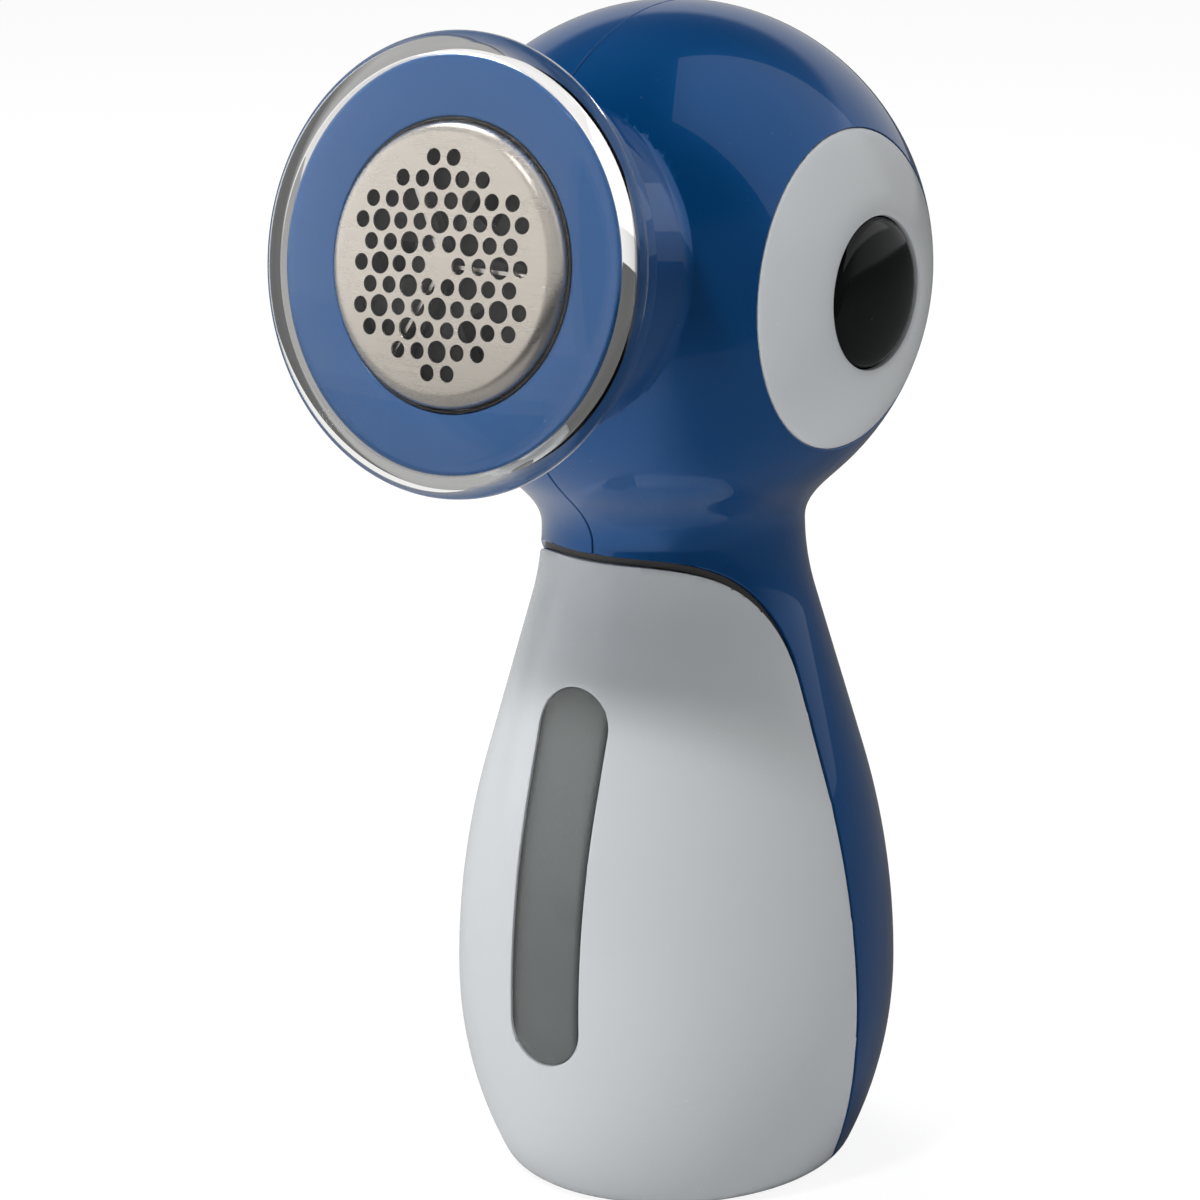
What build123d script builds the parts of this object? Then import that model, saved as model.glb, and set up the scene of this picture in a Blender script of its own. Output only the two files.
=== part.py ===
"""A battery fabric shaver that stands on its base: a two-part blue case, a white lint container at the
front, a clear cap over the shaving head, and a push button in the side of the head.

Frame: millimetres, origin at the centre of the base, +Z up, shaving head towards -Y, button on +X.
The shaving head has its own frame: it starts at the centre of the ball, and its z runs out along the
cutter's axis. Lengths along that axis are called reach.
"""
from build123d import *

import os
from math import asin, atan2, cos, degrees, radians, sin, sqrt, tan

# ---- outer form -------------------------------------------------------------------------------
base_radius = 20.5          # flat face that the shaver stands on
foot_radius = 24.6          # where the base's round edge meets the belly
foot_rise = 2.4
belly_radius = 30.3
belly_height = 27.5
flank_arc = 109.0           # the body's outline above the belly
flank_height = 57.9
neck_radius = 17.9
neck_height = 91.0
ball_height = 125.6         # centre of the head
ball_radius = 35.1
ball_rise = 35.6            # half the head's height
blend_angle = -48.0         # where the neck runs into the ball, degrees on the ball
squeeze_x = 0.975           # the whole form is a little narrower than deep
squeeze_y = 1.046
wall = 2.2
base_spare = 1.0            # cut off again to leave the base truly flat

# ---- parting lines ----------------------------------------------------------------------------
seam_gap = 0.12             # between the two halves of the case
container_top = 89.0
container_back = -2.2       # y of the parting line at the container's top
knee_y = 0.9
knee_height = 20.0
foot_y = 4.2                # y of the parting line just under the base
foot_height = -2.0
shoulder_radius = 18.5
knee_radius = 60.0
side_gap = 0.4              # gap between container and case at the sides
top_gap = 1.0               # and above the container
rim_recess = 0.6            # how far the grey bulkhead's rim lies under the surface
fit = 0.1                   # clearance between seated pieces
bulkhead_wall = 1.6

# ---- shaving head -----------------------------------------------------------------------------
head_pitch = 9.8            # degrees that the cutter's axis points upwards
collar_radius = 22.0
collar_wall = 2.0
collar_end = 46.4
ring_radius = 26.5
ring_face = 48.4
ring_plate = 1.5
ring_skirt = 1.6
ring_back = 41.5
ring_bore = 18.9
bayonet_reach = 43.2
bayonet_pin_radius = 0.9
bayonet_depth = 1.2
bayonet_turn = 30.0
bayonet_count = 3
foil_radius = 18.34
foil_front = 50.3
foil_rise = 0.6
foil_shoulder = 2.0
foil_sheet = 0.3
foil_flange = 19.7
gasket_wall = 0.4
hole_pitch = 3.1
large_hole = 2.82
small_hole = 2.15
hole_rows = 5
hole_field = 4.4            # the pattern's radius, in pitches
foil_turn = 3.7             # degrees
cap_radius = 29.3
cap_back = 46.2
cap_edge = 50.7             # reach of the cap's front at its rim
cap_dome = 2.5
cap_sheet = 1.2
cap_round = 2.5             # the rim's bend at the front, its hem at the back and its inner corner
cap_hem = 1.9
cap_corner = 0.6

# ---- cutter and motor -------------------------------------------------------------------------
blade_gap = 0.15
blade_count = 3
blade_length = 15.2
blade_height = 2.6
blade_sheet = 0.5
carrier_radius = 15.5
carrier_sheet = 1.6
hub_radius = 3.6
hub_back = 33.0
hub_length = 8.6
sleeve_wall = 1.2
shaft_radius = 1.0
motor_radius = 10.0
motor_flat = 7.6
motor_front = 11.0
motor_length = 25.0
end_cap_length = 3.0
mount_radius = 17.5
mount_sheet = 2.2
post_radius = 2.2
post_circle = 14.2
chamber_radius = 19.8
chamber_wall = 1.3
chamber_back = 24.0
chamber_front = 46.4

# ---- side of the head -------------------------------------------------------------------------
bezel_radius = 21.0
bezel_sheet = 1.3
button_hole = 10.06
button_gap = 0.2
button_recess = 0.5
button_skirt = 3.6
button_flange = 1.6
button_flange_sheet = 1.2

# ---- lint container and window ----------------------------------------------------------------
window_width = 11.2
window_low = 21.6
window_high = 72.5
window_lip = 1.8
window_sheet = 1.0
notch_places = (-5.8, 0.0, 5.8)
notch_width = 2.2
notch_depth = 0.9

# ---- duct from the cutter chamber to the container ---------------------------------------------
duct_width = 14.0
duct_depth = 9.6
duct_wall = 1.2
duct_y = -8.4

# ---- batteries --------------------------------------------------------------------------------
cell_radius = 7.25
cell_length = 50.5
cell_spacing = 15.2
cell_y = 12.4
cell_foot = 12.5
tray_wall = 1.2
spring_room = 3.0
door_width = 32.6
door_low = 8.0
door_high = 72.0
door_corner = 7.0
door_gap = 0.25

# ---- fasteners --------------------------------------------------------------------------------
case_screws = [(22.0, 146.0), (26.5, 112.0), (17.0, 4.7)]   # y, z of the screws across the case
screw_radius = 1.1
screw_head_radius = 2.0
screw_head = 1.8
screw_length = 14.0
boss_radius = 2.8
counterbore_depth = 7.0

UP = (Align.CENTER, Align.CENTER, Align.MIN)
head_axis = Vector(0, -cos(radians(head_pitch)), sin(radians(head_pitch)))
head_frame = Plane(origin=(0, 0, ball_height), x_dir=(1, 0, 0), z_dir=head_axis)
side_frame = Plane(origin=(0, 0, ball_height), x_dir=(0, 1, 0), z_dir=(1, 0, 0))


def in_head(shape):
    """Place a shape drawn in the shaving head's frame."""
    return head_frame.location * shape


def on_side(shape):
    """Place a shape drawn about the button's axis, z outwards on +X."""
    return side_frame.location * shape


def rod(radius, start, end):
    return Pos(0, 0, start) * Cylinder(radius, end - start, align=UP)


def tube(outer, inner, start, end):
    return rod(outer, start, end) - rod(inner, start - 1, end + 1)


def block(width, depth, low, high, x=0.0, y=0.0):
    return Pos(x, y, low) * Box(width, depth, high - low, align=UP)


def outline(inset, foot_spare=0.0):
    """Half of the outline from base to crown, on the side of +X, as a closed face.

    foot_spare carries it straight on below the base, for a flat cut later."""
    lean = asin((flank_height - belly_height) / flank_arc)
    flank_radius = belly_radius - flank_arc * (1 - cos(lean))
    # the straight flank runs on until a hollow arc can take it up to the neck
    drop = flank_radius - neck_radius
    bend = tan(lean / 2)
    waist_height = (drop + tan(lean) * flank_height - bend * neck_height) / (tan(lean) - bend)
    hollow = (neck_height - waist_height) / sin(lean)
    waist_radius = neck_radius + hollow * (1 - cos(lean))
    half = lean / 2
    base = (base_radius - inset / 2, inset)
    foot = (foot_radius - 0.8 * inset, foot_rise + 0.8 * inset)
    corner = ((base[0] + foot[0]) / 2 + 0.13 * foot_rise, inset + 0.32 * (foot[1] - inset))
    belly = (belly_radius - inset, belly_height)
    flank = (flank_radius - inset, flank_height)
    waist = (waist_radius - inset, waist_height)
    neck = (neck_radius - inset, neck_height)
    bulge = (belly[0] - flank_arc * (1 - cos(half)), belly_height + flank_arc * sin(half))
    dip = (neck[0] + hollow * (1 - cos(half)), neck_height - hollow * sin(half))
    a = ball_radius - inset
    b = ball_rise - inset
    t = radians(blend_angle)
    cheek = (a * cos(t), ball_height + b * sin(t))
    throat = (neck[0] + 0.24 * (cheek[0] - neck[0]), neck_height + 0.5 * (cheek[1] - neck_height))
    lines = [
        ThreePointArc(base, corner, foot),
        TangentArc(belly, foot, tangent=(0, -1)),
        ThreePointArc(belly, bulge, flank),
        Line(flank, waist),
        ThreePointArc(waist, dip, neck),
        ThreePointArc(neck, throat, cheek),
        EllipticalCenterArc((0, ball_height), a, b, start_angle=blend_angle, arc_size=90 - blend_angle),
        Polyline((0, ball_height + b), (0, inset - foot_spare)),
    ]
    if foot_spare:
        lines.append(Polyline((0, inset - foot_spare), (base[0], inset - foot_spare), base))
    else:
        lines.append(Line((0, inset), base))
    return make_face([edge for line in lines for edge in line.edges()])


def squeezed(shape):
    return scale(shape, by=(squeeze_x, squeeze_y, 1))


def form(inset=0.0):
    """Body, neck and head as one solid, inset all round by this much."""
    return squeezed(revolve(Plane.XZ * outline(inset), Axis.Z))


def skin(outer, inner):
    """The layer of the outer form between two insets, cut off flat underneath."""
    layer = squeezed(revolve(Plane.XZ * (outline(outer, base_spare) - outline(inner)), Axis.Z))
    return layer - block(4 * base_radius, 4 * base_radius, outer - 2 * base_spare, outer)


def ball(inset):
    """The head alone, without neck."""
    stretch = (squeeze_x * (ball_radius - inset), squeeze_y * (ball_radius - inset), ball_rise - inset)
    return Pos(0, 0, ball_height) * scale(Sphere(1), by=stretch)


def front_region(dy=0.0, dz=0.0):
    """Everything in front of and under the container's parting line, moved back and up."""
    line = FilletPolyline(
        (-70, container_top + dz),
        (container_back + dy, container_top + dz),
        (knee_y + dy, knee_height),
        (foot_y + dy, foot_height),
        radius=(shoulder_radius, knee_radius),
    )
    close = Polyline((foot_y + dy, foot_height), (-70, foot_height), (-70, container_top + dz))
    face = make_face((line + close).edges())
    return Plane.YZ * extrude(face, amount=60, both=True)


def capsule(width, low, high):
    """An upright slot through the front of the body."""
    slot = Plane.XZ * Pos(0, (low + high) / 2) * Rot(0, 0, 90) * SlotOverall(high - low, width)
    return extrude(slot, amount=60)


def rear_panel(width, low, high, corner):
    """A rounded upright prism through the back of the body."""
    face = Plane.XZ.offset(-8) * Pos(0, (low + high) / 2) * RectangleRounded(width, high - low, corner)
    return extrude(face, amount=-60)


def across(radius, start, end, y, z):
    """A round bar along X."""
    return Pos(start, y, z) * Rot(0, 90, 0) * Cylinder(radius, end - start, align=UP)


def coil(radius, wire, start, end, turns):
    """A helical spring along the local z, between two heights."""
    path = Helix(pitch=(end - start - 2 * wire) / turns, height=end - start - 2 * wire, radius=radius)
    section = Plane(origin=path @ 0, z_dir=path % 0) * Circle(wire)
    return Pos(0, 0, start + wire) * sweep(section, path=path, is_frenet=True)


# ---- case -------------------------------------------------------------------------------------
def case():
    """Both halves of the blue case in one piece, before they are parted."""
    body = skin(0, wall) + in_head(rod(collar_radius, chamber_back, collar_end))
    body -= in_head(rod(collar_radius - collar_wall, chamber_back - 8, collar_end + 1))
    for pin in range(bayonet_count):
        peg = Pos(collar_radius - 0.5, 0, bayonet_reach) * Rot(0, 90, 0)
        peg *= Cylinder(bayonet_pin_radius, bayonet_depth + 0.5, align=UP)
        body += in_head(Rot(0, 0, pin * 360 / bayonet_count) * peg)
    body -= front_region(side_gap, top_gap)
    body -= rear_panel(door_width, door_low, door_high, door_corner)
    for side in (1, -1):
        turn = Rot(0, 0, 0 if side > 0 else 180)
        pocket = rod(bezel_radius + fit, 15, 45)
        body -= turn * on_side(pocket) & (ball(-1) - ball(bezel_sheet + fit))
        body -= turn * on_side(rod(button_hole, 15, 45))
    return body


def screw_hole(y, z):
    bore = across(screw_radius + 0.05, -40, screw_length, y, z)
    return bore + across(screw_head_radius + 0.2, -60, -counterbore_depth, y, z)


def half(body, side):
    """One side of the case with its screw bosses; side is 1 for +X and -1 for -X."""
    part = body & Pos(side * (60 + seam_gap / 2), 0, 80) * Box(120, 160, 200)
    inside = form(wall - 0.8)
    for y, z in case_screws:
        ends = sorted((side * seam_gap / 2, side * 40))
        part += across(boss_radius, ends[0], ends[1], y, z) & inside
    for y, z in case_screws:
        part -= screw_hole(y, z)
    return part


def case_screw_set():
    screws = []
    for y, z in case_screws:
        head = across(screw_head_radius, -counterbore_depth - screw_head, -counterbore_depth, y, z)
        shank = across(screw_radius, -counterbore_depth, screw_length - counterbore_depth, y, z)
        slot = Pos(-counterbore_depth - screw_head, y, z) * Box(1.6, 0.6, 3.2)
        cross = Pos(-counterbore_depth - screw_head, y, z) * Box(1.6, 3.2, 0.6)
        screws.append(head + shank - slot - cross)
    return screws


def bezel():
    ring = on_side(tube(bezel_radius, button_hole, 15, 45))
    return ring & (ball(0) - ball(bezel_sheet))


def button():
    """Domed push button with a flange that holds it in and a stem that reaches the switch."""
    cap = on_side(rod(button_hole - button_gap, button_seat, 45)) & ball(button_recess)
    cap += on_side(rod(button_hole + button_flange, button_seat, button_seat + button_flange_sheet))
    cap -= on_side(rod(button_hole - 2.0, button_seat - 1, button_seat + 2.6))
    return cap + on_side(rod(stem_radius, plunger_tip + 0.1, button_seat + 3.0))


def blank_cap():
    """Black disc that fills the ring on the side without a switch."""
    cap = on_side(rod(button_hole - fit, button_seat + 1.5, 45)) & ball(button_recess)
    cap = cap - ball(button_recess + 1.6)
    return Rot(0, 0, 180) * cap


# ---- body -------------------------------------------------------------------------------------
def container():
    shell = skin(0, wall) & front_region()
    shell -= capsule(window_width, window_low, window_high)
    for x in notch_places:
        shell -= block(notch_width, 12, container_top - notch_depth, container_top + 1, x, -18)
    return shell


def window():
    pane = capsule(window_width - fit, window_low + fit / 2, window_high - fit / 2) & skin(0.15, wall + 0.4)
    lip = capsule(window_width + 2 * window_lip, window_low - window_lip, window_high + window_lip)
    return pane + (lip & skin(wall + 0.05, wall + 0.05 + window_sheet))


def bulkhead():
    """Dark wall that closes the container's back and shows as a thin line in the parting gap."""
    front = front_region(0.05, fit)
    rim = (front_region(side_gap - 0.04, top_gap - 0.05) - front) & form(rim_recess)
    plate = (front_region(side_gap + bulkhead_wall, top_gap + bulkhead_wall) - front) & form(wall + 0.15)
    tabs = []
    for x in notch_places:
        tab = block(notch_width - 0.4, 12, container_top - notch_depth + 0.15, container_top + 0.4, x, -18)
        tabs.append(tab & skin(rim_recess + 0.1, wall))
    throat = block(duct_width - 2 * duct_wall, duct_depth - 2 * duct_wall, 70, 100, 0, duct_y)
    return rim + plate + tabs - throat


def door():
    low = door_low + door_gap
    high = door_high - door_gap
    panel = rear_panel(door_width - 2 * door_gap, low, high, door_corner - door_gap) & skin(0, wall)
    grip_y = squeeze_y * belly_radius + 0.2
    for row in range(4):
        panel -= Pos(0, grip_y - 5.0 + 0.6 * row, high - 8 - 2.2 * row) * Rot(0, 90, 0) * Cylinder(0.7, 14)
    return panel


def tray():
    """Open box that holds the two cells, with its back to the bulkhead."""
    half_width = cell_spacing / 2 + cell_radius + 0.4
    back = cell_y - cell_radius - 0.5
    outer = Pos(0, back - tray_wall, tray_low) * Box(
        2 * (half_width + tray_wall), 30, tray_high - tray_low, align=(Align.CENTER, Align.MIN, Align.MIN)
    )
    inner = Pos(0, back, tray_low + tray_wall) * Box(
        2 * half_width, 40, tray_high - tray_low - 2 * tray_wall, align=(Align.CENTER, Align.MIN, Align.MIN)
    )
    box = (outer - inner) & form(wall + 0.3)
    return box - front_region(side_gap + bulkhead_wall + fit, top_gap + bulkhead_wall)


def cells():
    """Two AA cells, one with its tip up and one with its tip down."""
    up = rod(cell_radius, tray_top - tip - cell_length, tray_top - tip) + rod(2.7, tray_top - tip - 1, tray_top)
    down = rod(cell_radius, tray_foot + tip, tray_foot + tip + cell_length)
    down += rod(2.7, tray_foot, tray_foot + tip + 1)
    return [Pos(-cell_spacing / 2, cell_y) * up, Pos(cell_spacing / 2, cell_y) * down]


def contact_plates():
    low = tray_low + tray_wall + 0.05
    high = tray_high - tray_wall - 0.05
    bridge = block(2 * cell_spacing - 4, 9, low, low + contact_sheet, 0, cell_y)
    tops = [block(9, 9, high - contact_sheet, high, side * cell_spacing / 2, cell_y) for side in (-1, 1)]
    return [bridge] + tops


def contact_springs():
    below = coil(3.2, 0.4, tray_foot + 0.02, tray_top - tip - cell_length - 0.05, 3)
    above = coil(3.2, 0.4, tray_foot + tip + cell_length + 0.05, tray_top - 0.02, 3)
    return [Pos(-cell_spacing / 2, cell_y) * below, Pos(cell_spacing / 2, cell_y) * above]


# ---- shaving head -----------------------------------------------------------------------------
def arc_slice(radius, start, end, angle, size):
    wedge = Cylinder(radius, end - start, arc_size=size, align=(Align.NONE, Align.NONE, Align.MIN))
    return Rot(0, 0, angle) * Pos(0, 0, start) * wedge


def foil_ring():
    """Blue ring that clamps the foil and locks on the collar with a bayonet."""
    ring = tube(ring_radius, ring_bore, ring_face - ring_plate, ring_face)
    ring += tube(ring_radius, ring_radius - ring_skirt, ring_back, ring_face)
    sleeve = collar_radius + fit
    ring += tube(sleeve + 2.2, sleeve, ring_back, ring_face - ring_plate + 0.2)
    groove = collar_radius + bayonet_depth + 0.15
    play = 4.0
    low = bayonet_reach - bayonet_pin_radius - 0.15
    high = bayonet_reach + bayonet_pin_radius + 0.15
    for pin in range(bayonet_count):
        angle = pin * 360 / bayonet_count
        ring -= arc_slice(groove, low, high, angle - bayonet_turn - play, bayonet_turn + 2 * play)
        ring -= arc_slice(groove, ring_back - 1, high, angle - bayonet_turn - play, 2 * play)
    return in_head(ring)


def foil_holes():
    """Hexagonal field of large and small holes with a blank in the middle."""
    row_step = hole_pitch * sqrt(3) / 2
    holes = []
    for row in range(-hole_rows, hole_rows + 1):
        shift = 0.5 * (row % 2)
        for step in range(-6, 7):
            place = step + shift
            x = place * hole_pitch
            y = row * row_step
            if not 0.1 < sqrt(x * x + y * y) / hole_pitch <= hole_field:
                continue
            large = round(place - 3 * shift) % 3 == 0
            radius = (large_hole if large else small_hole) / 2
            holes.append(Pos(x, y) * rod(radius, foil_front - 3, foil_front + 3))
    return holes


def foil():
    """Thin pressed cup with a round shoulder, a slightly domed top and a flange."""
    def shape(offset):
        r = foil_radius - offset
        top = foil_front - offset
        bend = foil_shoulder - offset
        seat = collar_end + 0.1 + foil_sheet - offset
        mid = (r - bend + bend * sin(radians(45)), top - bend + bend * sin(radians(45)))
        dome = TangentArc((0, top + foil_rise), (r - bend, top), tangent=(1, 0))
        return dome, ThreePointArc((r - bend, top), mid, (r, top - bend)), (r, top - bend), (r, seat)

    dome, bend, wall_top, seat = shape(0)
    dome_in, bend_in, wall_in, seat_in = shape(foil_sheet)
    outer = Polyline(wall_top, seat, (foil_flange, seat[1]), (foil_flange, seat_in[1]), seat_in, wall_in)
    close = Line((0, foil_front + foil_rise), (0, foil_front + foil_rise - foil_sheet))
    edges = [e for c in (dome, bend, outer, bend_in, dome_in, close) for e in c.edges()]
    cup = revolve(Plane.XZ * make_face(edges), Axis.Z)
    return in_head(Rot(0, 0, foil_turn) * (cup - foil_holes()))


def gasket():
    return in_head(tube(ring_bore - 0.05, ring_bore - 0.05 - gasket_wall, ring_face - ring_plate + 0.1, ring_face))


def dish(radius, bend, hem, front, back):
    """Solid of the cap's outline: domed front, a bend at its edge, and a hem round at the back."""
    s = bend * sin(radians(45))
    h = hem * sin(radians(45))
    flat = radius - bend
    lines = [
        Polyline((0, front + cap_dome), (0, back), (radius - hem, back)),
        ThreePointArc((radius - hem, back), (radius - hem + h, back + hem - h), (radius, back + hem)),
        Line((radius, back + hem), (radius, front - bend)),
        ThreePointArc((radius, front - bend), (flat + s, front - bend + s), (flat, front)),
        TangentArc((0, front + cap_dome), (flat, front), tangent=(1, 0)),
    ]
    face = make_face([edge for line in lines for edge in line.edges()])
    return revolve(Plane.XZ * face, Axis.Z)


def cap():
    """Clear lid over the foil, with a thick round rim that grips the edge of the foil ring."""
    lid = dish(cap_radius, cap_round, cap_hem, cap_edge, cap_back)
    return in_head(lid - dish(ring_radius + fit, cap_corner, 0.2, cap_edge - cap_sheet, cap_back - 1))


def chamber():
    """Cup round the cutter, with an outlet low in its back wall and a hole for the shaft."""
    cup = rod(chamber_radius, chamber_back, chamber_front)
    cup -= rod(chamber_radius - chamber_wall, chamber_back + chamber_wall, chamber_front + 1)
    cup -= rod(shaft_radius + 1.5, chamber_back - 1, chamber_front)
    outlet = block(duct_width - 2 * duct_wall, 7.4, chamber_back - 1, chamber_back + chamber_wall + 1, 0, -13.2)
    return in_head(cup - outlet)


def duct_band(depth):
    """Side view of the duct: a run down the neck and a run forward to the chamber."""
    elbow = Vector(duct_y - 2.5, 101)
    foot = Vector(duct_y, 76)
    mouth = Vector(-30, 121)
    band = Pos(elbow.X, elbow.Y) * Circle(depth / 2)
    for end in (foot, mouth):
        run = end - elbow
        angle = degrees(atan2(run.Y, run.X)) - 90
        band += Pos(elbow.X, elbow.Y) * Rot(0, 0, angle) * Pos(0, run.length / 2) * Rectangle(depth, run.length)
    return band


def duct():
    outer = Plane.YZ * extrude(duct_band(duct_depth), amount=duct_width / 2, both=True)
    inner = Plane.YZ * extrude(duct_band(duct_depth - 2 * duct_wall), amount=duct_width / 2 - duct_wall, both=True)
    walls = outer - inner
    walls -= in_head(rod(50, chamber_back - 0.1, 90))
    return walls - front_region(side_gap + bulkhead_wall + 0.1, top_gap + bulkhead_wall + 0.1)


# ---- cutter and motor -------------------------------------------------------------------------
def carrier():
    """Disc with a rib for each blade and a sleeve that slides on the drive hub."""
    back = blade_seat - carrier_sheet
    body = rod(carrier_radius, back, blade_seat)
    body += rod(sleeve_radius, hub_back + 5.0, back)
    for blade in range(blade_count):
        rib = block(blade_length, 2.4, blade_seat - 0.2, blade_seat + 1.0, blade_start + blade_length / 2 - 0.2)
        body += Rot(0, 0, blade * 360 / blade_count) * rib
    body -= rod(hub_radius + fit, hub_back, back)
    body -= block(2 * (hub_radius + 1.0), 1.4, hub_back, back)
    for blade in range(blade_count):
        slot = block(blade_length + 1, blade_sheet + 0.04, blade_seat - 0.3, 60, blade_start + blade_length / 2)
        body -= Rot(0, 0, blade * 360 / blade_count) * slot
        gap = block(6.5, 4.5, back - 1, 60, 10.0)
        body -= Rot(0, 0, (blade + 0.5) * 360 / blade_count) * gap
    return in_head(body)


def blades():
    """Three upright steel blades, each with a bevelled cutting edge."""
    top = foil_front - foil_sheet - blade_gap
    blade = block(blade_length, blade_sheet, blade_seat - 0.28, top, blade_start + blade_length / 2)
    bevel = block(blade_length + 2, blade_sheet, top - 0.6, top + 1, blade_start + blade_length / 2, 0.55)
    blade -= bevel
    return [in_head(Rot(0, 0, index * 360 / blade_count) * blade) for index in range(blade_count)]


def hub():
    """Plastic hub pressed on the shaft, with two keys and a flange for the spring."""
    body = rod(hub_radius, hub_back, hub_back + hub_length)
    body += block(2 * hub_radius + 1.6, 1.2, hub_back, hub_back + hub_length)
    body += rod(hub_flange, hub_back, hub_back + 1.2)
    return in_head(body - rod(shaft_radius, hub_back - 1, hub_back + hub_length - 1.0))


def shaft():
    return in_head(rod(shaft_radius, motor_back - 1.5, hub_back + hub_length - 1.1))


def armature():
    core = tube(6.0, shaft_radius, motor_back + 4, motor_front - 3)
    for slot in range(3):
        core -= Rot(0, 0, 60 + slot * 120) * block(4, 1.2, motor_back + 3, motor_front, 5)
    return in_head(core)


def flatted(shape):
    return shape & block(60, 2 * motor_flat, -60, 60)


def motor_can():
    can = flatted(rod(motor_radius, motor_back, motor_front))
    room = rod(motor_radius - 0.9, motor_back - 1, motor_front - 0.9)
    can -= room & block(60, 2 * motor_flat - 1.8, -60, 60)
    can += rod(3.0, motor_front, motor_front + 1.4)
    can -= rod(shaft_radius + 0.05, 0, 40)
    return in_head(can - motor_screw_bores(0.02))


def end_cap():
    body = flatted(rod(motor_radius, motor_back - end_cap_length, motor_back))
    for side in (-1, 1):
        body -= block(0.6, 2.4, motor_back - 20, motor_back + 5, side * 6.5)
    return in_head(body - rod(shaft_radius + 0.05, -40, 0))


def terminals():
    low = motor_back - end_cap_length - 2.6
    return [in_head(block(0.5, 2.2, low, motor_back - 0.3, side * 6.5)) for side in (-1, 1)]


def motor_screw_bores(gap):
    bores = [Pos(side * 6.0) * rod(1.0 + gap, motor_front - 2, motor_front + mount_sheet + 1) for side in (-1, 1)]
    return bores


def mount():
    """Plate in front of the motor with posts to the chamber and an arm for the switch board."""
    top = motor_front + mount_sheet
    plate = rod(mount_radius, motor_front, top) & block(60, mount_radius + 9.5, 0, 60, 0, mount_radius / 2 - 4.75)
    for angle in (90, 195, 345):
        plate += Rot(0, 0, angle) * Pos(post_circle) * rod(post_radius, motor_front + 1, chamber_back - 0.02)
    plate += block(board_x - arm_start, 12, -6, motor_front + 1, (board_x + arm_start) / 2)
    plate -= rod(3.05, motor_front - 1, top + 1)
    return in_head(plate - motor_screw_bores(0.05))


def motor_screws():
    screws = []
    for side in (-1, 1):
        screw = rod(1.0, motor_front - 1.5, motor_front + mount_sheet)
        screw += rod(1.9, motor_front + mount_sheet, motor_front + mount_sheet + 1.1)
        screws.append(in_head(Pos(side * 6.0) * screw))
    return screws


def board():
    plate = Pos(board_x + board_sheet / 2 + 0.02, 0, ball_height) * Box(board_sheet, 16, 20)
    return plate


def switch_body():
    body = Pos(switch_base, 0, ball_height) * Box(6.4, 6.2, 12.6, align=(Align.MIN, Align.CENTER, Align.CENTER))
    return body - on_side(rod(plunger_radius + 0.05, switch_base + 1.2, 40))


def plunger():
    return on_side(rod(plunger_radius, switch_base + 3.2, plunger_tip))


# ---- places that follow from the sizes above ---------------------------------------------------
motor_back = motor_front - motor_length
blade_start = 1.2
blade_seat = foil_front - foil_sheet - blade_gap - blade_height
hub_flange = 6.6
sleeve_radius = hub_radius + 1.0 + sleeve_wall - 0.4
button_seat = 28.2
stem_radius = 2.0
plunger_tip = 24.0
plunger_radius = 1.0
board_sheet = 1.4
arm_start = motor_radius + 2.8
board_x = arm_start + 1.5
switch_base = board_x + board_sheet + 0.05
contact_sheet = 0.4
tip = 1.2
tray_low = 7.6
tray_high = tray_low + 2 * tray_wall + 2 * contact_sheet + 0.1 + cell_length + tip + spring_room + 1.5
tray_foot = tray_low + tray_wall + contact_sheet + 0.1
tray_top = tray_high - tray_wall - contact_sheet - 0.1

blue_case = case()
parts = {
    "housing_right": half(blue_case, 1),
    "housing_left": half(blue_case, -1),
    "case_screws": case_screw_set(),
    "ring_right": bezel(),
    "ring_left": Rot(0, 0, 180) * bezel(),
    "power_button": button(),
    "blank_cap": blank_cap(),
    "button_spring": on_side(coil(5.2, 0.35, switch_base + 6.5, button_seat + 2.5, 4)),
    "switch_body": switch_body(),
    "switch_plunger": plunger(),
    "switch_board": board(),
    "lint_container": container(),
    "container_window": window(),
    "bulkhead": bulkhead(),
    "battery_door": door(),
    "battery_tray": tray(),
    "battery_cells": cells(),
    "contact_plates": contact_plates(),
    "contact_springs": contact_springs(),
    "protective_cap": cap(),
    "foil_ring": foil_ring(),
    "foil_gasket": gasket(),
    "foil": foil(),
    "cutter_chamber": chamber(),
    "lint_duct": duct(),
    "blade_carrier": carrier(),
    "cutter_blades": blades(),
    "carrier_spring": in_head(coil(5.9, 0.35, hub_back + 1.25, blade_seat - carrier_sheet - 0.05, 5)),
    "drive_hub": hub(),
    "motor_shaft": shaft(),
    "motor_armature": armature(),
    "motor_can": motor_can(),
    "motor_end_cap": end_cap(),
    "motor_terminals": terminals(),
    "motor_mount": mount(),
    "motor_screws": motor_screws(),
}


def save(name, shape):
    solids = []
    for piece in shape if isinstance(shape, (list, tuple)) else [shape]:
        solids.extend(piece.solids())
    result = solids[0] if len(solids) == 1 else Compound(children=solids)
    result.label = name
    export_step(result, f"parts/{name}.step")


os.makedirs("parts", exist_ok=True)
for name, shape in parts.items():
    save(name, shape)
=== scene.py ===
# %% [markdown]
# # A fabric shaver, finished round its working frame
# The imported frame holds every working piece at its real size. This lesson gives the visible ones their
# smooth moulded surfaces and their finishes, and leaves the frame where it is. Lengths are written in
# millimetres and multiplied by MM, because Blender works in metres here.

# %% Load the frame
import math

import bmesh
import bpy
from mathutils import Matrix, Vector


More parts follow.
